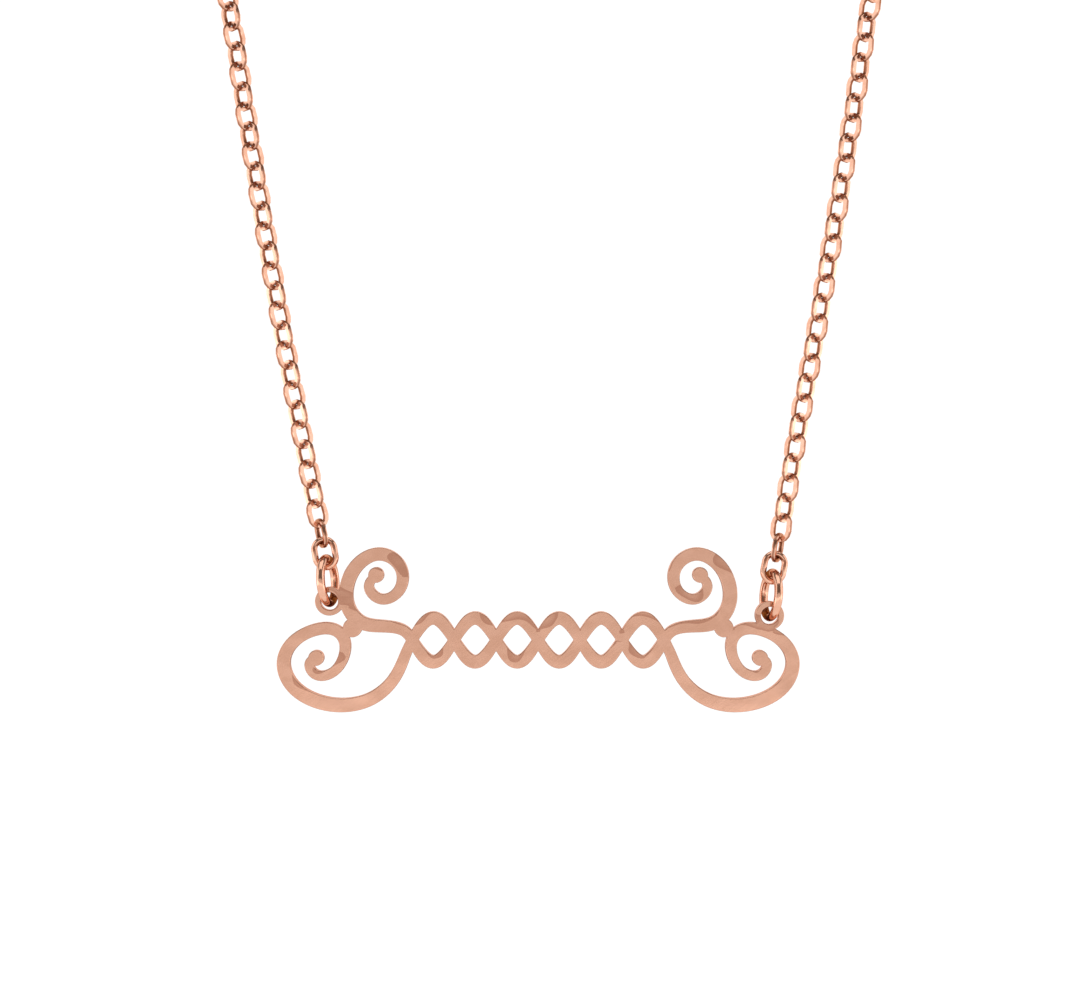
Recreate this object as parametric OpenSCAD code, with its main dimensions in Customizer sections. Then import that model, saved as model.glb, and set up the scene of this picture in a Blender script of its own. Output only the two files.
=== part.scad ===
// Nameplate necklace: a pierced scrollwork plate on a fine cable chain, as worn round a neck.
// Millimetres. X runs to the viewer's right, Z is up, and the plate's face looks along -Y.
// The origin is on the chain's centre line at the nape of the neck.

/* [Plate] */
// Width of the scrollwork over all
plate_w = 41.8; // [36:0.2:52]
// Height of the scrollwork over all
plate_h = 13.2; // [12:0.2:18]
// Thickness of the sheet
plate_t = 1.1; // [0.8:0.1:1.4]
// Widest part of a stroke
stroke_w = 1.12; // [0.9:0.02:1.3]
// Diameter of the round drops that end the scrolls
drop_d = 1.25; // [1:0.05:1.5]

/* [Eyelets] */
// Outer diameter of an eyelet
eyelet_d = 2.3; // [2.1:0.1:2.8]
// Bore of an eyelet
eyelet_bore = 1.4; // [1.3:0.05:1.6]

/* [Jump rings] */
// Wire of the jump ring in each eyelet
ring_wire = 0.7; // [0.5:0.05:0.75]
// Outer diameter of the jump ring
ring_d = 4.25; // [4:0.05:5]
// How far a jump ring is turned away from the plate's face, in degrees
ring_turn = 76; // [62:1:88]
// How far a jump ring leans outwards, in degrees
ring_lean = 5; // [0:0.5:8]

/* [Connecting rings] */
// Wire of the oval ring between jump ring and chain
oval_wire = 0.5; // [0.4:0.05:0.55]
// Outer width of the oval ring
oval_w = 2.1; // [2.1:0.05:2.8]
// Outer length of the oval ring
oval_l = 2.75; // [2.7:0.05:3.6]

/* [Chain] */
// Outer length of a link
link_l = 2.45; // [2.4:0.05:3]
// Outer width of a link
link_w = 2.05; // [1.9:0.05:2.3]
// Width of a link's wire, seen on the link's flat side
link_wire = 0.36; // [0.3:0.01:0.38]
// Thickness of a link over its filed flats
link_flat = 0.31; // [0.26:0.01:0.36]
// Least clearance between pieces that are linked
link_gap = 0.105; // [0.1:0.005:0.14]
// How far the chain leans outwards where it leaves the rings, in degrees
chain_lean = 10.5; // [8:0.5:13]

/* [Loop] */
// Width of the loop round the neck
loop_w = 96; // [88:1:116]
// Depth of the loop, from the plate to the nape
loop_depth = 92; // [84:1:112]
// Height of the nape above the left eyelet
loop_drop = 101; // [94:1:120]

/* [Clasp] */
// Length of the clasp's body, without its eye
clasp_l = 7.6; // [6.5:0.1:10]
// Width of the clasp's body
clasp_w = 4.4; // [4:0.1:5.5]
// Thickness of the clasp's body
clasp_t = 1.6; // [1.2:0.1:1.8]
// Width of the bars round the clasp's opening
clasp_bar = 1.1; // [0.9:0.05:1.2]
// Length of the clasp's opening
clasp_opening = 3.4; // [2.6:0.1:4]
// Outer diameter of the clasp's eye
clasp_eye_d = 2.6; // [2.5:0.1:3]
// Bore of the clasp's eye
clasp_eye_bore = 1.4; // [1.3:0.05:1.6]
// Thickness of the clasp's eye
clasp_eye_t = 0.6; // [0.5:0.1:0.8]
// Outer diameter of the ring that the clasp closes on
end_ring_d = 4.1; // [4:0.1:5]
// Wire of the ring that the clasp closes on
end_ring_wire = 0.7; // [0.5:0.05:0.75]

/* [Hidden] */

rose_gold = [0.88, 0.67, 0.57];
chain_gold = [0.82, 0.57, 0.46];
round_fn = 64;
ring_fn = 48;
link_fn = 24;

// The scrollwork is one strand and its mirror image. A strand starts in the lower left scroll, weaves
// through the middle band as a wave, and ends in the upper right scroll.
band_waves = 3;       // half waves on each side of the middle
band_reach = 0.483;   // end of the band, as a share of half the plate's width
band_swing = 0.133;   // height of a wave's crest, as a share of the plate's height
band_thin = 0.76;     // stroke at a crossing, as a share of the widest stroke
band_thick = 0.94;    // stroke at a crest
band_steps = 28;      // points on each half wave
scroll_steps = 8;     // points on each span of a scroll

// Scrolls, from the band outwards. Columns: out, as a share of half the plate's width; up from the band's
// middle, as a share of the plate's height; stroke, as a share of the widest one.
upper_scroll = [
    [0.483, 0.000, 0.76],
    [0.513, 0.073, 0.79],
    [0.598, 0.086, 0.89],
    [0.686, 0.088, 0.98],
    [0.750, 0.226, 1.00],
    [0.722, 0.440, 1.00],
    [0.613, 0.558, 0.96],
    [0.513, 0.461, 0.89],
    [0.517, 0.291, 0.82],
    [0.605, 0.218, 0.76],
    [0.667, 0.327, 0.70],
    [0.621, 0.395, 0.64]
];
lower_scroll = [
    [0.483, 0.000, 0.76],
    [0.510, -0.085, 0.79],
    [0.544, -0.242, 0.89],
    [0.644, -0.385, 0.96],
    [0.797, -0.412, 1.00],
    [0.945, -0.315, 1.00],
    [0.996, -0.121, 0.94],
    [0.925, 0.036, 0.90],
    [0.784, 0.100, 0.87],
    [0.722, -0.018, 0.80],
    [0.766, -0.204, 0.74],
    [0.858, -0.236, 0.70],
    [0.889, -0.133, 0.66],
    [0.851, -0.109, 0.64]
];
// The round collar that joins an upper scroll to the lower one beneath it, in the same columns.
collar = [0.712, 0.074, 1.35];
// Where the eyelets sit, counted in rows along their scroll, and how deep they are set into its stroke.
left_eyelet_row = 4.05;
right_eyelet_row = 7.4;
eyelet_bite = 0.36;

// Route of one chain from the connecting ring to the nape, as a few chosen points. Columns: share of the
// chain's start, and of the loop's half width, that add up to the way out from the middle; share of the
// loop's depth, from the plate; share of the loop's drop, from the left eyelet.
chain_route = [
    [1.00, 0.037, 0.000, 0.144],
    [1.00, 0.068, 0.000, 0.223],
    [1.00, 0.102, 0.000, 0.318],
    [1.00, 0.129, 0.000, 0.397],
    [1.00, 0.156, 0.000, 0.476],
    [0.80, 0.290, 0.022, 0.580],
    [0.50, 0.510, 0.100, 0.695],
    [0.20, 0.760, 0.230, 0.805],
    [0.00, 0.945, 0.395, 0.890],
    [0.00, 1.000, 0.560, 0.943],
    [0.00, 0.965, 0.725, 0.976],
    [0.00, 0.800, 0.880, 0.992],
    [0.00, 0.540, 0.970, 0.998],
    [0.00, 0.280, 0.998, 1.000],
    [0.00, 0.130, 1.000, 1.000],
    [0.00, 0.000, 1.000, 1.000]
];
route_steps = 8;      // points on each span of the route
link_angle = 45;      // a link's turn from the loop's outer face, one way and then the other
first_link_turn = 21; // further turn of the link in the connecting ring
settling_links = 6;   // links over which the chain turns to meet the clasp
clasp_bite = 0.35;    // how deep the clasp's eye is set into its body

function unit(v) = v / norm(v);
function last(list) = list[len(list) - 1];
function reversed(list) = [for (i = [len(list) - 1:-1:0]) list[i]];

// Point t of the way along span i of a smooth curve that is drawn towards its points
function drawn(list, i, t) =
    let (
        n = len(list),
        a = i == 0 ? 2 * list[0] - list[1] : list[i - 1],
        d = i + 2 == n ? 2 * list[n - 1] - list[n - 2] : list[i + 2]
    )
    (pow(1 - t, 3) * a + (3 * pow(t, 3) - 6 * t * t + 4) * list[i]
    + (3 * t + 3 * t * t - 3 * pow(t, 3) + 1) * list[i + 1] + pow(t, 3) * d) / 6;
function drawn_at(list, row) = drawn(list, floor(row), row - floor(row));
function drawn_curve(list, steps) =
    [for (i = [0:len(list) - 2], k = [0:steps - 1]) drawn(list, i, k / steps), last(list)];

// Point t of the way along span i of a smooth curve that passes through its points
function through(list, i, t) =
    let (
        n = len(list),
        b = list[i],
        c = list[i + 1],
        a = i == 0 ? 2 * b - c : list[i - 1],
        d = i + 2 == n ? [-list[n - 2].x, list[n - 2].y, list[n - 2].z] : list[i + 2]
    )
    (2 * b + t * (c - a) + t * t * (2 * a - 5 * b + 4 * c - d) + pow(t, 3) * (3 * b - a - 3 * c + d)) / 2;

// Strokes in plate coordinates: [x, z, width], with the band's middle at zero
upper_raw = drawn_curve(upper_scroll, scroll_steps);
lower_raw = drawn_curve(lower_scroll, scroll_steps);
widest = max([for (p = lower_raw) p.x]);
highest = max([for (p = upper_raw) p.y]);
lowest = min([for (p = lower_raw) p.y]);
fit_x = (plate_w - stroke_w) / 2 / widest;
fit_z = (plate_h - stroke_w) / (highest - lowest);
function fitted(p) = [p.x * fit_x, p.y * fit_z, p.z * stroke_w];
upper_stroke = [for (p = upper_raw) fitted(p)];
lower_stroke = [for (p = lower_raw) fitted(p)];
band_count = 2 * band_waves * band_steps;
band_stroke = [
    for (k = [1:band_count - 1])
        let (
            phase = 180 * (k / band_steps - band_waves),
            swing = sin(phase),
            share = band_thin + (band_thick - band_thin) * abs(swing)
        )
        fitted([band_reach * (2 * k / band_count - 1), -band_swing * swing, share])
];
strand = concat(
    reversed([for (p = lower_stroke) [-p.x, p.y, p.z]]),
    band_stroke,
    upper_stroke
);

// The centre of an eyelet that is set into a scroll's stroke, on the scroll's outer side
function eyelet_on(scroll, row) =
    let (
        p = fitted(drawn_at(scroll, row)),
        q = fitted(drawn_at(scroll, row + 0.01)),
        way = unit([q.x - p.x, q.y - p.y]),
        reach = p.z / 2 + eyelet_d / 2 - eyelet_bite
    )
    [p.x + way.y * reach, p.y - way.x * reach];
left_on_plate = let (p = eyelet_on(upper_scroll, left_eyelet_row)) [-p.x, p.y];
right_on_plate = eyelet_on(lower_scroll, right_eyelet_row);

// The plate's place: the eyelets are equally far from the middle of the loop
plate_x = -(left_on_plate.x + right_on_plate.x) / 2;
plate_z = -loop_drop - left_on_plate.y;
eyelet_x = (right_on_plate.x - left_on_plate.x) / 2;
left_z = -loop_drop;
right_z = plate_z + right_on_plate.y;

// The stack of rings above an eyelet, from the eyelet's centre outwards and up
ring_bend = (ring_d - ring_wire) / 2;
oval_bend = (oval_l - oval_wire) / 2;
link_bend = (link_l - link_wire) / 2;
ring_sink = (eyelet_bore - ring_wire) / 2 - 2 * link_gap;
ring_axis = [sin(ring_lean), cos(ring_lean)];
chain_axis = [sin(chain_lean), cos(chain_lean)];
ring_centre = [0, -ring_sink] + ring_bend * ring_axis;
ring_top = ring_centre + ring_bend * ring_axis;
oval_centre = ring_top + (oval_bend - ring_wire / 2 - link_gap - oval_wire / 2) * chain_axis;
oval_top = oval_centre + oval_bend * chain_axis;
start_centre = oval_top + (link_bend - oval_wire / 2 - link_gap - link_wire / 2) * chain_axis;

// The row of pieces at the nape, along X from the left chain's last link to the right chain's
eye_room = (link_w - link_wire) / 2 - link_wire / 2 - link_gap;
eye_seat = (link_l - link_w) / 2 + sqrt(pow(eye_room, 2) - pow(clasp_eye_t / 2, 2)) + clasp_eye_bore / 2;
bar_seat = clasp_eye_d / 2 - clasp_bite + clasp_l - clasp_bar / 2;
end_ring_bend = (end_ring_d - end_ring_wire) / 2;
end_ring_room = end_ring_bend - end_ring_wire / 2 - link_gap;
ring_seat = sqrt(pow(end_ring_room, 2) - pow(clasp_t / 2, 2)) - clasp_bar / 2;
link_seat = end_ring_bend - end_ring_wire / 2 - link_gap - link_wire / 2 + link_bend;
nape_half = (eye_seat + bar_seat + ring_seat + link_seat) / 2;
eye_x = eye_seat - nape_half;
bar_x = eye_x + bar_seat;
end_ring_x = bar_x + ring_seat;

// One side's route in the loop's frame, drawn for the right side
function route_points(eyelet_z) =
    let (start = [eyelet_x + start_centre.x, -loop_depth, eyelet_z + start_centre.y])
    [
        start,
        for (r = chain_route)
            [r[0] * start.x + r[1] * loop_w / 2, (r[2] - 1) * loop_depth, (r[3] - 1) * loop_drop]
    ];
function route_curve(eyelet_z) =
    let (p = route_points(eyelet_z))
    [for (i = [0:len(p) - 2], k = [0:route_steps - 1]) through(p, i, k / route_steps), last(p)];
function walked(curve) =
    [for (i = 0, s = 0; i < len(curve); s = s + (i + 1 < len(curve) ? norm(curve[i + 1] - curve[i]) : 0),
        i = i + 1) s];
function column(keys, curve, axis) = [for (i = [0:len(curve) - 1]) [keys[i], curve[i][axis]]];
function place(tables, s) = [for (t = tables) lookup(s, t)];

// The section of a link's wire: filed flat on both faces, with ridged inner and outer rims
module link_section() {
    rim = link_wire / 2;
    face = link_flat / 2;
    flat = 0.3 * link_wire;
    polygon([[rim, 0], [flat, face], [-flat, face], [-rim, 0], [-flat, -face], [flat, -face]]);
}

// An oval loop along X, flat in XY, of the wire whose section is given
module oval_loop(length, width, wire) {
    bend = (width - wire) / 2;
    run = length - width;
    for (end = [0, 180])
        rotate([0, 0, end])
            translate([run / 2, 0, 0])
                rotate([0, 0, -90])
                    rotate_extrude(angle = 180) translate([bend, 0]) children();
    for (side = [-1, 1])
        translate([0, side * bend, 0])
            rotate([90, 0, 90])
                linear_extrude(run, center = true) children();
}

module link() {
    oval_loop(link_l, link_w, link_wire, $fn = link_fn) link_section();
}

// A round ring that faces Y
module round_ring(outer, wire) {
    rotate([90, 0, 0])
        rotate_extrude($fn = ring_fn) translate([(outer - wire) / 2, 0]) circle(d = wire);
}

// A round boss of the sheet, or with more height a bore through it
module boss(centre, diameter, height = plate_t) {
    translate([centre.x, centre.y, 0]) cylinder(d = diameter, h = height, center = true, $fn = round_fn);
}

// A stroke cut from the sheet: its outline runs down one side of its points and back up the other
module stroke(points) {
    n = len(points);
    sides = [
        for (i = [0:n - 1])
            let (
                a = points[max(i - 1, 0)],
                b = points[min(i + 1, n - 1)],
                way = unit([b.x - a.x, b.y - a.y]),
                p = points[i]
            )
            [[p.x - way.y * p.z / 2, p.y + way.x * p.z / 2], [p.x + way.y * p.z / 2, p.y - way.x * p.z / 2]]
    ];
    linear_extrude(plate_t, center = true)
        polygon(concat([for (s = sides) s[0]], reversed([for (s = sides) s[1]])));
    boss(points[0], drop_d);
    boss(last(points), drop_d);
}

module half_scrollwork() {
    stroke(strand);
    boss(fitted(collar), fitted(collar).z);
}

module nameplate() {
    color(rose_gold)
        translate([plate_x, -loop_depth, plate_z])
            rotate([90, 0, 0])
                difference() {
                    union() {
                        half_scrollwork();
                        mirror([1, 0, 0]) half_scrollwork();
                        boss(left_on_plate, eyelet_d);
                        boss(right_on_plate, eyelet_d);
                    }
                    boss(left_on_plate, eyelet_bore, 2 * plate_t);
                    boss(right_on_plate, eyelet_bore, 2 * plate_t);
                }
}

// One side's pieces are drawn for the right side, and the left side is their mirror image
module on_side(side, eyelet_z, centre) {
    mirror([side < 0 ? 1 : 0, 0, 0])
        translate([eyelet_x + centre.x, -loop_depth, eyelet_z + centre.y]) children();
}

module jump_ring(side, eyelet_z) {
    color(rose_gold)
        on_side(side, eyelet_z, ring_centre)
            rotate([0, ring_lean, 0]) rotate([0, 0, -ring_turn]) round_ring(ring_d, ring_wire);
}

module connecting_ring(side, eyelet_z) {
    color(rose_gold)
        on_side(side, eyelet_z, oval_centre)
            rotate([0, chain_lean, 0]) rotate([90, -90, 0])
                oval_loop(oval_l, oval_w, oval_wire, $fn = ring_fn) circle(d = oval_wire);
}

// Links at even steps along a side's route, from the connecting ring to the nape. The last link lies
// flat on the neck or stands on its edge, whichever the piece that it meets leaves free.
module chain(side, eyelet_z, on_edge) {
    curve = route_curve(eyelet_z);
    keys = walked(curve);
    tables = [for (axis = [0:2]) column(keys, curve, axis)];
    reach = last(keys) - nape_half;
    spaces = ceil(reach / (link_l - 2 * link_wire - link_gap));
    pitch = reach / spaces;
    last_turn = (spaces % 2 == 0 ? link_angle : -link_angle) * (on_edge ? 1 : -1);
    color(chain_gold)
        mirror([side < 0 ? 1 : 0, 0, 0])
            for (i = [0:spaces]) {
                at = place(tables, i * pitch);
                along = unit(place(tables, i * pitch + pitch / 2) - place(tables, i * pitch - pitch / 2));
                round_way = 180 * (1 + at.y / loop_depth);
                outwards = [sin(round_way), -cos(round_way), 0];
                face = unit(outwards - (outwards * along) * along);
                across = cross(face, along);
                settled = max(0, 1 - (spaces - i) / settling_links);
                turn = (i % 2 == 0 ? link_angle : -link_angle)
                    + (i == 0 ? first_link_turn : 0) + settled * last_turn;
                multmatrix([
                    [along.x, across.x, face.x, at.x],
                    [along.y, across.y, face.y, at.y],
                    [along.z, across.z, face.z, at.z]
                ])
                    rotate([turn, 0, 0]) link();
            }
}

module stadium(length, width) {
    for (end = [-1, 1])
        translate([end * (length - width) / 2, 0]) circle(d = width, $fn = round_fn);
    square([length - width, width], center = true);
}

// The clasp lies flat on the nape: a body with an opening that the end ring hangs in, and an eye
module clasp() {
    body_x = bar_x + clasp_bar / 2 - clasp_l / 2;
    opening_x = bar_x - clasp_bar / 2 - clasp_opening / 2;
    color(rose_gold)
        rotate([90, 0, 0])
            difference() {
                union() {
                    translate([body_x, 0, 0])
                        linear_extrude(clasp_t, center = true) stadium(clasp_l, clasp_w);
                    translate([eye_x, 0, 0])
                        cylinder(d = clasp_eye_d, h = clasp_eye_t, center = true, $fn = round_fn);
                }
                translate([opening_x, 0, 0])
                    linear_extrude(2 * clasp_t, center = true)
                        stadium(clasp_opening, clasp_w - 2 * clasp_bar);
                translate([eye_x, 0, 0])
                    cylinder(d = clasp_eye_bore, h = 2 * clasp_t, center = true, $fn = round_fn);
            }
}

module end_ring() {
    color(rose_gold)
        translate([end_ring_x, 0, 0])
            rotate([90, 0, 0]) round_ring(end_ring_d, end_ring_wire);
}

nameplate();
jump_ring(-1, left_z);  // jump_ring_left
jump_ring(1, right_z);  // jump_ring_right
connecting_ring(-1, left_z);  // connecting_ring_left
connecting_ring(1, right_z);  // connecting_ring_right
chain(-1, left_z, true);  // chain_left
chain(1, right_z, false);  // chain_right
clasp();
end_ring();
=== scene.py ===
import math
import bpy
from mathutils import Matrix, Vector


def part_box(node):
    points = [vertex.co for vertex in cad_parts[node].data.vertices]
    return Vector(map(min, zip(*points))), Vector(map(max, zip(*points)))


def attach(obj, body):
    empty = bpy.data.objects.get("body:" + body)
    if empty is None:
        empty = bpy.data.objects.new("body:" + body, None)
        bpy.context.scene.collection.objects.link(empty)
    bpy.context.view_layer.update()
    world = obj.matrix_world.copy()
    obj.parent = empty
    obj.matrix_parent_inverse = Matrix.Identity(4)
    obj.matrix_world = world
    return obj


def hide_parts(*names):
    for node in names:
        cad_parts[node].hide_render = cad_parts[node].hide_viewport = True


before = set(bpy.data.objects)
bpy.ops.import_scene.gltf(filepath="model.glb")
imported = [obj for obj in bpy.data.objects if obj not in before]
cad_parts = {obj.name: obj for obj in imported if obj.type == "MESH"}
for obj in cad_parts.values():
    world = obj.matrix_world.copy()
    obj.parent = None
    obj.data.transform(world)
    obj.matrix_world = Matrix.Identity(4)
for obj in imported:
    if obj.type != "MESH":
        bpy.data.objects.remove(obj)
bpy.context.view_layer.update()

# The nameplate is a scrollwork of flat strokes with an eyelet on each side, cut from 1.1 mm stainless sheet
# and plated in rose gold. It is polished after cutting, which softens its edges, leaves fine slanting
# marks, and makes its face dip and swell a little.
mm = 0.001
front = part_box("nameplate")[0].y
front_layer = 0.01 * mm
plate_thickness = 1.1 * mm
plate_edge = 0.05 * mm
shortest_cut = 0.03 * mm
beam_round = 0.05 * mm
sharp_corner = math.radians(135)
same_point = 0.0005 * mm
meeting_point = 0.002 * mm
straight_on = 0.99
plate_smooth_angle = math.radians(12)
least_slope = 0.001


def let_go():
    if bpy.context.mode != "OBJECT":
        bpy.ops.object.mode_set(mode="OBJECT")
    bpy.ops.object.select_all(action="DESELECT")


def take_up(piece):
    let_go()
    piece.select_set(True)
    bpy.context.view_layer.objects.active = piece


def pick_faces(piece, wanted):
    """Selects a piece's faces by their place or the way they face, and stays in edit mode"""
    bpy.ops.object.mode_set(mode="EDIT")
    bpy.ops.mesh.select_mode(type="FACE")
    bpy.ops.mesh.select_all(action="DESELECT")
    bpy.ops.object.mode_set(mode="OBJECT")
    for face in piece.data.polygons:
        face.select = wanted(face)
    bpy.ops.object.mode_set(mode="EDIT")


def blank_of(node, name):
    """A merged copy of a CAD node's mesh, to be worked into the finished piece"""
    piece = bpy.data.objects.new(name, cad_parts[node].data.copy())
    bpy.context.collection.objects.link(piece)
    take_up(piece)
    bpy.ops.object.mode_set(mode="EDIT")
    bpy.ops.mesh.select_all(action="SELECT")
    bpy.ops.mesh.customdata_custom_splitnormals_clear()
    bpy.ops.mesh.remove_doubles(threshold=same_point)
    bpy.ops.object.mode_set(mode="OBJECT")
    return piece


def keep_cut_line(piece):
    """Strips a piece to the line that was cut round its front face, without its shortest bits"""
    pick_faces(piece, lambda face: face.normal.y > -straight_on or face.center.y > front + front_layer)
    bpy.ops.mesh.delete(type="FACE")
    bpy.ops.mesh.select_all(action="SELECT")
    bpy.ops.mesh.region_to_loop()
    bpy.ops.mesh.select_all(action="INVERT")
    bpy.ops.mesh.delete(type="EDGE")
    bpy.ops.mesh.select_all(action="SELECT")
    bpy.ops.mesh.remove_doubles(threshold=shortest_cut)


def round_sharp_corners(piece):
    """Gives a cut line's sharp corners the cutting beam's radius, and merges the points that meet there"""
    bpy.ops.mesh.select_mode(type="VERT")
    bpy.ops.object.mode_set(mode="OBJECT")
    ways = {corner.index: [] for corner in piece.data.vertices}
    for edge in piece.data.edges:
        for here, there in (edge.vertices, reversed(edge.vertices)):
            ways[here].append(piece.data.vertices[there].co - piece.data.vertices[here].co)
    for corner in piece.data.vertices:
        one_way, other_way = ways[corner.index][:2]
        corner.select = one_way.angle(other_way) < sharp_corner
    for edge in piece.data.edges:
        edge.select = False
    bpy.ops.object.mode_set(mode="EDIT")
    bpy.ops.mesh.bevel(offset=beam_round, segments=4, affect="VERTICES", clamp_overlap=True)
    bpy.ops.mesh.select_all(action="SELECT")
    bpy.ops.mesh.remove_doubles(threshold=meeting_point)


def fill_cut_line():
    """Fills a cut line with sheet, as thick as the plate is between its rounded rims"""
    bpy.ops.mesh.fill(use_beauty=True)
    bpy.ops.mesh.select_all(action="SELECT")
    bpy.ops.transform.translate(value=(0, plate_edge, 0))
    between_rims = plate_thickness - 2 * plate_edge
    bpy.ops.mesh.extrude_region_move(TRANSFORM_OT_translate={"value": (0, between_rims, 0)})
    bpy.ops.mesh.select_all(action="SELECT")
    bpy.ops.mesh.normals_make_consistent(inside=False)


def round_rims(piece):
    """Rounds the rims of both faces in three steps of a quarter turn, out to the full thickness"""
    pick_faces(piece, lambda face: abs(face.normal.y) > straight_on)
    for low, high in ((0, 30), (30, 60), (60, 90)):
        low, high = math.radians(low), math.radians(high)
        bpy.ops.mesh.inset(thickness=plate_edge * (math.cos(low) - math.cos(high)),
                           depth=plate_edge * (math.sin(high) - math.sin(low)))
    bpy.ops.object.mode_set(mode="OBJECT")


def seat(piece, node, metal):
    """Puts a finished piece in its node's place"""
    piece.data.materials.clear()
    piece.data.materials.append(metal)
    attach(piece, "root")
    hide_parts(node)


class Finish:
    """A socket of a material, with its maths written as plain expressions"""

    def __init__(self, tree, socket=None):
        self.tree = tree
        self.socket = socket

    def node(self, kind, settings=None, sockets=None, output=0):
        made = self.tree.nodes.new(kind)
        for name, value in (settings or {}).items():
            setattr(made, name, value)
        for key, value in (sockets or {}).items():
            if isinstance(value, Finish):
                self.tree.links.new(value.socket, made.inputs[key])
            else:
                made.inputs[key].default_value = value
        return Finish(self.tree, made.outputs[output])

    def maths(self, operation, first, second):
        return self.node("ShaderNodeMath", {"operation": operation}, {0: first, 1: second})

    def __add__(self, other):
        return self.maths("ADD", self, other)

    def __rsub__(self, other):
        return self.maths("SUBTRACT", other, self)

    def __mul__(self, other):
        return self.maths("MULTIPLY", self, other)

    __radd__ = __add__
    __rmul__ = __mul__


def plated(name, colour):
    """A plated metal with the same colour all over: its material, its shader and a finish to build on"""
    metal = bpy.data.materials.new(name)
    metal.use_nodes = True
    shader = metal.node_tree.nodes["Principled BSDF"]
    shader.inputs["Base Color"].default_value = (*colour, 1)
    shader.inputs["Metallic"].default_value = 1
    shader.inputs["Specular Tint"].default_value = (*colour, 1)
    return metal, shader, Finish(metal.node_tree)


def lay_wear_and_painted_shade(shader, finish, colour, rough, relief):
    """Lays the colour, wear and painted shade alike, the roughness and relief that change over a plated metal
    """
    bumped = finish.node("ShaderNodeBump", {}, {"Strength": 1, "Distance": 1, "Height": relief})
    for name, made in (("Base Color", colour), ("Roughness", rough), ("Normal", bumped)):
        finish.tree.links.new(made.socket, shader.inputs[name])


def marks(place, turn, along, across, detail):
    """Noise on an object's place, drawn out along one way as polishing leaves it"""
    laid = place.node("ShaderNodeMapping", {"vector_type": "TEXTURE"},
                      {"Vector": place, "Rotation": (0, math.radians(turn), 0),
                       "Scale": (along, across, across)})
    return place.node("ShaderNodeTexNoise", {},
                      {"Vector": laid, "Scale": 1, "Detail": detail, "Roughness": 0.6})


def within(value, low, high):
    """0 below low, 1 above high, and smooth between"""
    return value.node("ShaderNodeMapRange", {"interpolation_type": "SMOOTHSTEP"},
                      {"Value": value, "From Min": low, "From Max": high})


def blend(share, under, over):
    return share.node("ShaderNodeMix", {"data_type": "RGBA"}, {0: share, 6: under, 7: over}, output=2)


nameplate = blank_of("nameplate", "nameplate_polished")
keep_cut_line(nameplate)
round_sharp_corners(nameplate)
fill_cut_line()
round_rims(nameplate)
bpy.ops.object.shade_smooth_by_angle(angle=plate_smooth_angle)
# How much each point of the plate faces up; it steers the painted dark reflection on the strokes and the
# painted shade and highlight on the walls.
upper_side = nameplate.data.attributes.new("upper_side", "FLOAT", "POINT")
for corner, value in zip(nameplate.data.vertices, upper_side.data):
    value.value = corner.normal.z / max(math.hypot(corner.normal.x, corner.normal.z), least_slope)

bright_face = (0.75, 0.425, 0.305, 1)
dull_face = (0.70, 0.385, 0.268, 1)
polished_mark = (0.80, 0.48, 0.36, 1)
painted_dark_reflection = (0.50, 0.235, 0.155, 1)
painted_shade_wall = (0.24, 0.09, 0.045, 1)
painted_highlight_wall = (0.80, 0.48, 0.35, 1)
crest_foot, crest_top = -105.5 * mm, -102 * mm
swell_depth = 0.02 * mm
polish_depth = 0.0006 * mm

plate_metal, plate_shader, bare = plated("plate_rose_gold", (0.79, 0.50, 0.39))
place = bare.node("ShaderNodeTexCoord", output=3)
outward = bare.node("ShaderNodeSeparateXYZ", {}, {0: bare.node("ShaderNodeTexCoord", output=1)}, output=1)
flat = within(outward * outward, 0.4, 0.9)
polish_marks = marks(place, -38, 1.6 * mm, 0.12 * mm, 4)
mottling = marks(place, 20, 1.9 * mm, 1.2 * mm, 3)
swell = marks(place, 12, 2.6 * mm, 1.7 * mm, 0)
upper = bare.node("ShaderNodeAttribute", {"attribute_name": "upper_side"}, output=2)
height = place.node("ShaderNodeSeparateXYZ", {}, {0: place}, output=2)
crest = within(height, crest_foot, crest_top)
# The darker patches on the strokes' upper sides and on the crests are a painted dark reflection, laid into
# the colour.
painted_reflection_field = upper * 0.22 + crest * 0.16 + swell
tone = blend(within(mottling, 0.35, 0.68), bright_face, dull_face)
tone = blend(within(polish_marks, 0.5, 0.75) * 0.15, tone, polished_mark)
painted_reflection_share = within(painted_reflection_field, 0.80, 0.81) * (1 - within(painted_reflection_field, 0.83, 1.05) * 0.5)
tone = blend(painted_reflection_share * 0.85, tone, painted_dark_reflection)
# The walls carry painted shade on their lower sides and a painted highlight on their upper sides.
shaded_and_lit_wall = blend(within(upper, -0.3, 0.5), painted_shade_wall, painted_highlight_wall)
colour = blend(flat, shaded_and_lit_wall, tone)
rough = polish_marks * 0.07 + 0.09 + (1 - flat) * 0.14
relief = swell * swell_depth + polish_marks * polish_depth
lay_wear_and_painted_shade(plate_shader, bare, colour, rough, relief)
seat(nameplate, "nameplate", plate_metal)

# A jump ring of 0.7 mm round wire hangs in each eyelet. It is wound from stainless wire, cut off, plated and
# closed with pliers, so a hairline seam is left at the back where its two ends meet.
jump_wire = 0.7 * mm
jump_across = 4.25 * mm
jump_turn = math.radians(76)
jump_lean = math.radians(5)
jump_seam_turn = math.radians(60)
seam_width = 0.03 * mm
seam_edge = 0.03 * mm
wire_sides = 24
ring_steps = 72
edge_angle = math.radians(50)
smooth_angle = math.radians(40)


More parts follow.
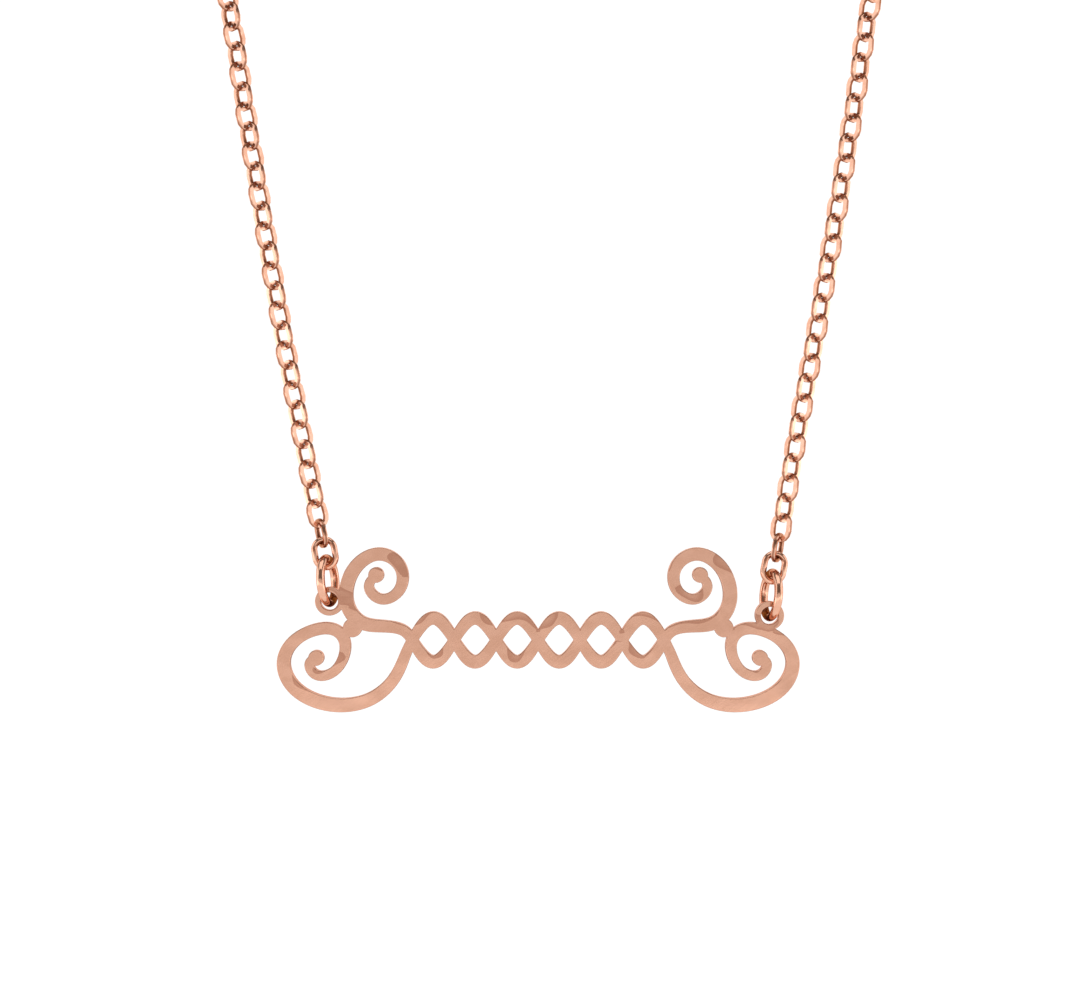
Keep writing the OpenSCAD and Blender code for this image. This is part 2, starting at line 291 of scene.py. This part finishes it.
def soften(piece, width, segments):
    """Rounds a piece's sharp edges and keeps its flats flat"""
    take_up(piece)
    edge = piece.modifiers.new("edge", "BEVEL")
    edge.width = width
    edge.segments = segments
    edge.limit_method = "ANGLE"
    edge.angle_limit = edge_angle
    edge.use_clamp_overlap = False
    edge.harden_normals = True
    bpy.ops.object.shade_smooth_by_angle(angle=smooth_angle)
    bpy.ops.object.modifier_apply(modifier="edge")


def split_ring(name, across, wire):
    """A round ring that faces Y, its seam on the right"""
    bend = (across - wire) / 2
    seam = seam_width / bend
    let_go()
    bpy.ops.mesh.primitive_circle_add(vertices=wire_sides, radius=wire / 2, fill_type="NGON")
    piece = bpy.context.object
    piece.name = name
    bpy.ops.object.mode_set(mode="EDIT")
    bpy.ops.mesh.select_all(action="SELECT")
    bpy.ops.transform.translate(value=(bend, 0, 0))
    bpy.ops.mesh.spin(steps=ring_steps, angle=2 * math.pi - seam, center=(0, 0, 0), axis=(0, 1, 0))
    bpy.ops.mesh.select_all(action="SELECT")
    bpy.ops.mesh.normals_make_consistent(inside=False)
    bpy.ops.object.mode_set(mode="OBJECT")
    soften(piece, seam_edge, 2)
    return piece


def set_down(piece, placing):
    """Moves a piece to its place and lays that place into its mesh"""
    take_up(piece)
    piece.matrix_world = placing
    bpy.ops.object.transform_apply(location=True, rotation=True, scale=True)


def middle(node):
    low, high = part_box(node)
    return (low + high) / 2


def ramp(value, none, full):
    """0 at none, 1 at full, and even between"""
    return min(max((value - none) / (full - none), 0), 1)


def paint_ring_shade(piece, share_at):
    """Notes how much painted shade a ring's wire gets at each of its corners"""
    painted_shade = piece.data.attributes.new("painted_shade", "FLOAT", "POINT")
    for corner, value in zip(piece.data.vertices, painted_shade.data):
        value.value = share_at(corner.co)


def jump_ring_shade(at, low, high):
    """Painted shade at its foot behind the plate's face, inside the eyelet, and at its top under the oval
    ring
    """
    in_eyelet = ramp(at.z, low.z + 1.5 * mm, low.z + 1.2 * mm)
    in_oval = ramp(at.z, high.z - 0.9 * mm, high.z - 0.6 * mm)
    behind_face = ramp(at.y, front, front + 0.3 * mm)
    further_back = ramp(at.y, front + 0.3 * mm, front + 0.6 * mm)
    return max(in_eyelet * behind_face, in_oval * further_back)


bright_wire = (0.76, 0.43, 0.31, 1)
handled_wire = (0.68, 0.36, 0.245, 1)
painted_shade_wire = (0.19, 0.05, 0.018, 1)
drawn_depth = 0.0012 * mm
handling_depth = 0.006 * mm

wire_metal, wire_shader, bare = plated("wire_rose_gold", (0.80, 0.50, 0.38))
place = bare.node("ShaderNodeTexCoord", output=3)
draw_marks = marks(place, 70, 1.1 * mm, 0.10 * mm, 3)
handling = marks(place, 0, 0.9 * mm, 0.9 * mm, 4)
painted_shade = bare.node("ShaderNodeAttribute", {"attribute_name": "painted_shade"}, output=2)
# The wire's painted shade darkens it where a ring passes through an eyelet or under an oval ring, and along
# the oval rings' sides as a painted dark reflection.
painted_shade_share = within(painted_shade, 0.1, 0.9) * 0.95
tone = blend(within(handling, 0.35, 0.7), bright_wire, handled_wire)
colour = blend(painted_shade_share, tone, painted_shade_wire)
rough = draw_marks * 0.08 + handling * 0.06 + painted_shade * 0.2 + 0.08
relief = draw_marks * drawn_depth + handling * handling_depth
lay_wear_and_painted_shade(wire_shader, bare, colour, rough, relief)

for side, way in (("left", -1), ("right", 1)):
    node = "jump_ring_" + side
    jump_ring = split_ring(node + "_polished", jump_across, jump_wire)
    seam_to_back = 0 if way < 0 else math.pi
    set_down(jump_ring, Matrix.Translation(middle(node)) @ Matrix.Rotation(way * jump_lean, 4, "Y")
             @ Matrix.Rotation(-way * jump_turn + seam_to_back, 4, "Z")
             @ Matrix.Rotation(jump_seam_turn, 4, "Y"))
    low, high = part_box(node)
    paint_ring_shade(jump_ring, lambda at: jump_ring_shade(at, low, high))
    seat(jump_ring, node, wire_metal)

# A small oval ring of 0.5 mm wire joins each jump ring to its chain. It is bent on a mandrel, closed and
# soldered before plating, so it shows no seam.
oval_wire = 0.5 * mm
oval_across = 2.1 * mm
oval_length = 2.75 * mm
oval_turns = 24
oval_wire_sides = 20
loop_end = 0.001 * mm
chain_lean = math.radians(10.5)


def oval_of(name, length, across, wire, turns, section):
    """An oval loop that is long in Z and faces Y. The section's points lie in XY, round the wire's middle."""
    bend = (across - wire) / 2
    run = length - across
    let_go()
    bpy.ops.mesh.primitive_circle_add(vertices=len(section), radius=wire / 2, fill_type="NOTHING")
    piece = bpy.context.object
    piece.name = name
    for corner, (out, up) in zip(piece.data.vertices, section):
        corner.co = (bend + out, up, run / 2)
    bpy.ops.object.mode_set(mode="EDIT")
    bpy.ops.mesh.select_all(action="SELECT")
    for end, step in ((1, -run), (-1, run)):
        bpy.ops.mesh.spin(steps=turns, angle=math.pi, center=(0, 0, end * run / 2), axis=(0, 1, 0))
        bpy.ops.mesh.extrude_region_move(TRANSFORM_OT_translate={"value": (0, 0, step)})
    bpy.ops.mesh.select_all(action="SELECT")
    bpy.ops.mesh.remove_doubles(threshold=loop_end)
    bpy.ops.mesh.normals_make_consistent(inside=False)
    bpy.ops.object.mode_set(mode="OBJECT")
    return piece


def oval_shade(at):
    """Painted shade inside its top, under the chain's first link, and a painted dark reflection along the
    middle of its two sides
    """
    past_side = max(at.z - (oval_length - oval_across) / 2, 0)
    outwards = math.hypot(at.x, past_side) - (oval_across - oval_wire) / 2
    inside_top = ramp(at.z, 0.6 * mm, 0.75 * mm) * ramp(outwards, 0, -0.1 * mm)
    along_side = ramp(at.z, -0.3 * mm, 0) * ramp(at.z, 0.9 * mm, 0.7 * mm)
    wire_middle = ramp(abs(outwards), 0.18 * mm, 0.06 * mm)
    return max(inside_top, 0.75 * (along_side * wire_middle))


round_wire = [(oval_wire / 2 * math.cos(math.tau * k / oval_wire_sides),
               oval_wire / 2 * math.sin(math.tau * k / oval_wire_sides)) for k in range(oval_wire_sides)]
for side, way in (("left", -1), ("right", 1)):
    node = "connecting_ring_" + side
    oval = oval_of(node + "_polished", oval_length, oval_across, oval_wire, oval_turns, round_wire)
    bpy.ops.object.shade_smooth()
    paint_ring_shade(oval, oval_shade)
    set_down(oval, Matrix.Translation(middle(node)) @ Matrix.Rotation(way * chain_lean, 4, "Y"))
    seat(oval, node, wire_metal)

# The cable chain is made by machine: each link is bent round the one before and welded, and the finished
# chain is twisted and filed so that its links lie a quarter turn apart with flat, bright sides.
link_length = 2.45 * mm
link_across = 2.05 * mm
link_wire = 0.36 * mm
link_flat = 0.31 * mm
link_gap = 0.105 * mm
link_turns = 7
link_smooth_angle = math.radians(55)
loop_across = 96 * mm
loop_depth = 92 * mm
loop_drop = 101 * mm
link_turn = 45
first_link_turn = 21
settling_links = 6
chain_route = [
    (1.00, 0.037, 0.000, 0.144), (1.00, 0.068, 0.000, 0.223), (1.00, 0.102, 0.000, 0.318),
    (1.00, 0.129, 0.000, 0.397), (1.00, 0.156, 0.000, 0.476), (0.80, 0.290, 0.022, 0.580),
    (0.50, 0.510, 0.100, 0.695), (0.20, 0.760, 0.230, 0.805), (0.00, 0.945, 0.395, 0.890),
    (0.00, 1.000, 0.560, 0.943), (0.00, 0.965, 0.725, 0.976), (0.00, 0.800, 0.880, 0.992),
    (0.00, 0.540, 0.970, 0.998), (0.00, 0.280, 0.998, 1.000), (0.00, 0.130, 1.000, 1.000),
    (0.00, 0.000, 1.000, 1.000),
]
points_to_a_span = 8
rim = link_wire / 2
face = link_flat / 2 + 0.02 * mm
inside = rim + 0.03 * mm
outer_flat = 0.75 * rim
inner_flat = 0.9 * rim
filed_wire = [(rim, 0), (outer_flat, face), (-inner_flat, face),
              (-inside, 0), (-inner_flat, -face), (outer_flat, -face)]


def chain_path(start):
    """The route of a chain on the right side, as points on a smooth curve and the way walked to each.
    A stop of the route gives shares of the start's own place out, and of the loop's width, depth and drop."""
    stops = [start] + [Vector((out * start.x + wide * loop_across / 2, (back - 1) * loop_depth,
                               (up - 1) * loop_drop)) for out, wide, back, up in chain_route]
    stops = [2 * stops[0] - stops[1]] + stops + [Vector((-stops[-2].x, stops[-2].y, stops[-2].z))]
    points = []
    for a, b, c, d in zip(stops, stops[1:], stops[2:], stops[3:]):
        for t in (k / points_to_a_span for k in range(points_to_a_span)):
            points.append((2 * b + t * (c - a) + t * t * (2 * a - 5 * b + 4 * c - d)
                           + t ** 3 * (3 * b - a - 3 * c + d)) / 2)
    points.append(stops[-2])
    walked = [0]
    for near, far in zip(points, points[1:]):
        walked.append(walked[-1] + (far - near).length)
    return points, walked


def along_path(points, walked, way):
    way = min(max(way, 0), walked[-1])
    k = next(k for k in range(1, len(walked)) if way <= walked[k] or k == len(walked) - 1)
    return points[k - 1].lerp(points[k], (way - walked[k - 1]) / (walked[k] - walked[k - 1]))


def link_places(start, nape_room, on_edge):
    """Where the links of a chain on the right side lie, and how each is turned"""
    points, walked = chain_path(start)
    reach = walked[-1] - nape_room
    spaces = math.ceil(reach / (link_length - 2 * link_wire - link_gap))
    pitch = reach / spaces
    last_turn = (link_turn if spaces % 2 == 0 else -link_turn) * (1 if on_edge else -1)
    for i in range(spaces + 1):
        at = along_path(points, walked, i * pitch)
        along = (along_path(points, walked, (i + 0.5) * pitch)
                 - along_path(points, walked, (i - 0.5) * pitch)).normalized()
        round_way = math.pi * (1 + at.y / loop_depth)
        outwards = Vector((math.sin(round_way), -math.cos(round_way), 0))
        facing = (outwards - outwards.dot(along) * along).normalized()
        settled = max(0, 1 - (spaces - i) / settling_links)
        turn = link_turn if i % 2 == 0 else -link_turn
        if i == 0:
            turn += first_link_turn
        yield at, along, facing, math.radians(turn + settled * last_turn)


bright_link = (0.75, 0.44, 0.325, 1)
dull_link = (0.64, 0.345, 0.24, 1)
painted_shade_link = (0.20, 0.055, 0.018, 1)
filing_depth = 0.0012 * mm
tarnish_depth = 0.004 * mm

chain_metal, chain_shader, bare = plated("chain_rose_gold", (0.76, 0.45, 0.33))
place = bare.node("ShaderNodeTexCoord", output=3)
filing = marks(place, 80, 0.7 * mm, 0.07 * mm, 3)
tarnish = marks(place, 0, 0.8 * mm, 0.8 * mm, 3)
link_shade_mask = bare.node("ShaderNodeAttribute", {"attribute_name": "painted_link_shade"}, output=2)
# The links' inner sides, rims and inner flats near their ends carry painted shade.
painted_link_shade_share = within(link_shade_mask, 0.0, 0.7) * 0.92
tone = blend(within(tarnish, 0.35, 0.7), bright_link, dull_link)
colour = blend(painted_link_shade_share, tone, painted_shade_link)
rough = filing * 0.08 + tarnish * 0.05 + link_shade_mask * 0.35 + 0.07
relief = filing * filing_depth + tarnish * tarnish_depth
lay_wear_and_painted_shade(chain_shader, bare, colour, rough, relief)

link = oval_of("link", link_length, link_across, link_wire, link_turns, filed_wire)
# Painted shade: darkest on the link's inner side, less on its outer rim, a little on the inner flats near its
# ends.
painted_link_shade = link.data.attributes.new("painted_link_shade", "FLOAT", "POINT")
for corner, value in zip(link.data.vertices, painted_link_shade.data):
    past_side = max(abs(corner.co.z) - (link_length - link_across) / 2, 0)
    inner = math.hypot(corner.co.x, past_side) < (link_across - link_wire) / 2
    if abs(corner.co.y) < face / 2:
        value.value = 1 if inner else 0.6
    else:
        value.value = 0.5 if inner and past_side > 0.6 * link_across / 2 else 0
bpy.ops.object.shade_smooth_by_angle(angle=link_smooth_angle)

clasp_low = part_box("clasp")[0]
clasp_eye = 2.6 * mm
eye_seat = 1.37286 * mm
nape_room = eye_seat - clasp_low.x - clasp_eye / 2
first_link_rise = (oval_length - 2 * oval_wire + link_length - 2 * link_wire) / 2 - link_gap
chain_rise = Vector((math.sin(chain_lean), 0, math.cos(chain_lean)))
for side, way, on_edge in (("left", -1, True), ("right", 1, False)):
    node = "chain_" + side
    mirror = Vector((way, 1, 1))
    ring = middle("connecting_ring_" + side)
    start = Vector((abs(ring.x), ring.y, ring.z)) + chain_rise * first_link_rise
    links = []
    for at, along, facing, turn in link_places(start, nape_room, on_edge):
        at, along, facing = at * mirror, along * mirror, facing * mirror
        across = facing.cross(along)
        placing = Matrix((across, facing, along)).transposed().to_4x4()
        placed = link.copy()
        placed.data = link.data.copy()
        bpy.context.collection.objects.link(placed)
        placed.matrix_world = Matrix.Translation(at) @ placing @ Matrix.Rotation(way * turn, 4, "Z")
        links.append(placed)
    take_up(links[0])
    for placed in links:
        placed.select_set(True)
    bpy.ops.object.join()
    chain = bpy.context.object
    chain.name = node + "_filed"
    bpy.ops.object.transform_apply(location=True, rotation=True, scale=True)
    seat(chain, node, chain_metal)
bpy.data.objects.remove(link)

# The clasp is a plain flat body stamped from sheet, with an eye for the left chain's last link and an opening
# that the end ring hangs in. It is tumbled smooth and plated with the rest.
clasp_round = 0.16 * mm

clasp = blank_of("clasp", "clasp_tumbled")
soften(clasp, clasp_round, 4)
seat(clasp, "clasp", wire_metal)

# The end ring is one more jump ring of 0.7 mm stainless wire, wound, cut off, plated and closed as those at
# the plate are. It lies flat at the nape and links the right chain's last link to the clasp.
end_wire = 0.7 * mm
end_across = 4.1 * mm
end_seam_turn = math.radians(115)

end_ring = split_ring("end_ring_polished", end_across, end_wire)
set_down(end_ring, Matrix.Translation(middle("end_ring")) @ Matrix.Rotation(math.radians(90), 4, "X")
         @ Matrix.Rotation(end_seam_turn, 4, "Y"))
seat(end_ring, "end_ring", wire_metal)

# The stage is a seamless sweep of pale paper, lit by soft boxes and a little light of its own, which keeps it
# white, with the camera level in front of the nameplate. An apron of the same paper carries the floor on to
# the front for the views from behind, and doesn't show in the metal.
floor_level = -0.22
paper_width = 12
sweep_depth, sweep_middle = 2, -0.2
sweep_back = 0.8
cove_middle = 0.28
wall_height = 1.6
apron_depth, apron_middle = 5, -3.7


def lay_paper(name, depth, middle_y):
    """A flat sheet of paper on the floor"""
    let_go()
    bpy.ops.mesh.primitive_plane_add(size=1, location=(0, 0, 0))
    sheet = bpy.context.object
    sheet.name = name
    bpy.ops.object.mode_set(mode="EDIT")
    bpy.ops.mesh.select_all(action="SELECT")
    bpy.ops.transform.resize(value=(paper_width, depth, 1))
    bpy.ops.transform.translate(value=(0, middle_y, floor_level))
    bpy.ops.object.mode_set(mode="OBJECT")
    return sheet


sweep = lay_paper("pale_sweep", sweep_depth, sweep_middle)
for edge in sweep.data.edges:
    edge.select = all(sweep.data.vertices[k].co.y > 0 for k in edge.vertices)
for corner in sweep.data.vertices:
    corner.select = corner.co.y > 0
for panel in sweep.data.polygons:
    panel.select = False
bpy.ops.object.mode_set(mode="EDIT")
bpy.ops.mesh.select_mode(type="EDGE")
bpy.ops.mesh.spin(steps=16, angle=math.radians(-90), center=(0, sweep_back, cove_middle), axis=(1, 0, 0))
bpy.ops.mesh.extrude_region_move(TRANSFORM_OT_translate={"value": (0, 0, wall_height)})
bpy.ops.object.mode_set(mode="OBJECT")
bpy.ops.object.shade_smooth()

paper, paper_shader, bare = plated("pale_paper", (0.35, 0.35, 0.35))
for name, value in (("Metallic", 0), ("Roughness", 0.9), ("Specular IOR Level", 0.1),
                    ("Emission Color", (1, 1, 1, 1)), ("Emission Strength", 0.88)):
    paper_shader.inputs[name].default_value = value
place = bare.node("ShaderNodeTexCoord", output=3)
grain = marks(place, 0, 1.5 * mm, 1.5 * mm, 3)
finish_of_paper = blend(grain, (0.33, 0.33, 0.33, 1), (0.36, 0.36, 0.36, 1))
bare.tree.links.new(finish_of_paper.socket, paper_shader.inputs["Base Color"])
sweep.data.materials.append(paper)

apron = lay_paper("pale_apron", apron_depth, apron_middle)
apron.visible_glossy = False
apron.data.materials.append(paper)


def soft_box(name, place, aim, width, height, brightness):
    """A rectangular soft light whose face shines at the brightness given"""
    lamp = bpy.data.lights.new(name, "AREA")
    lamp.shape = "RECTANGLE"
    lamp.size = width
    lamp.size_y = height
    lamp.energy = brightness * width * height * math.pi
    box = bpy.data.objects.new(name, lamp)
    bpy.context.collection.objects.link(box)
    box.location = place
    box.rotation_euler = (Vector(aim) - Vector(place)).to_track_quat("-Z", "Y").to_euler()
    box.visible_camera = False


heart = (0, -0.09, -0.09)
front_brightness = 0.66
round_brightness = 1.3
soft_box("front_box", (0, -0.47, -0.26), (0, -0.09, -0.26), 0.7, 0.48, front_brightness)
soft_box("left_box", (-0.45, -0.16, -0.05), heart, 0.5, 0.6, round_brightness)
soft_box("right_box", (0.45, -0.16, -0.05), heart, 0.5, 0.6, round_brightness)
soft_box("top_box", (0, -0.2, 0.42), heart, 0.7, 0.45, round_brightness)

room_light = (0.20, 0.18, 0.16, 1)
world = bpy.data.worlds.new("studio")
world.use_nodes = True
world.node_tree.nodes["Background"].inputs["Color"].default_value = room_light
bpy.context.scene.world = world
bpy.context.scene.view_settings.view_transform = "Standard"

sensor_width = 36
view_distance = 200
view_width = 86.4
eye_point = (-0.76 * mm, -292 * mm, -92.56 * mm)
eye = bpy.data.cameras.new("camera")
eye.sensor_width = sensor_width
eye.lens = sensor_width * view_distance / view_width
eye.clip_start = 0.01
camera = bpy.data.objects.new("camera", eye)
bpy.context.collection.objects.link(camera)
camera.location = eye_point
camera.rotation_euler = (math.radians(90), 0, 0)
bpy.context.scene.camera = camera
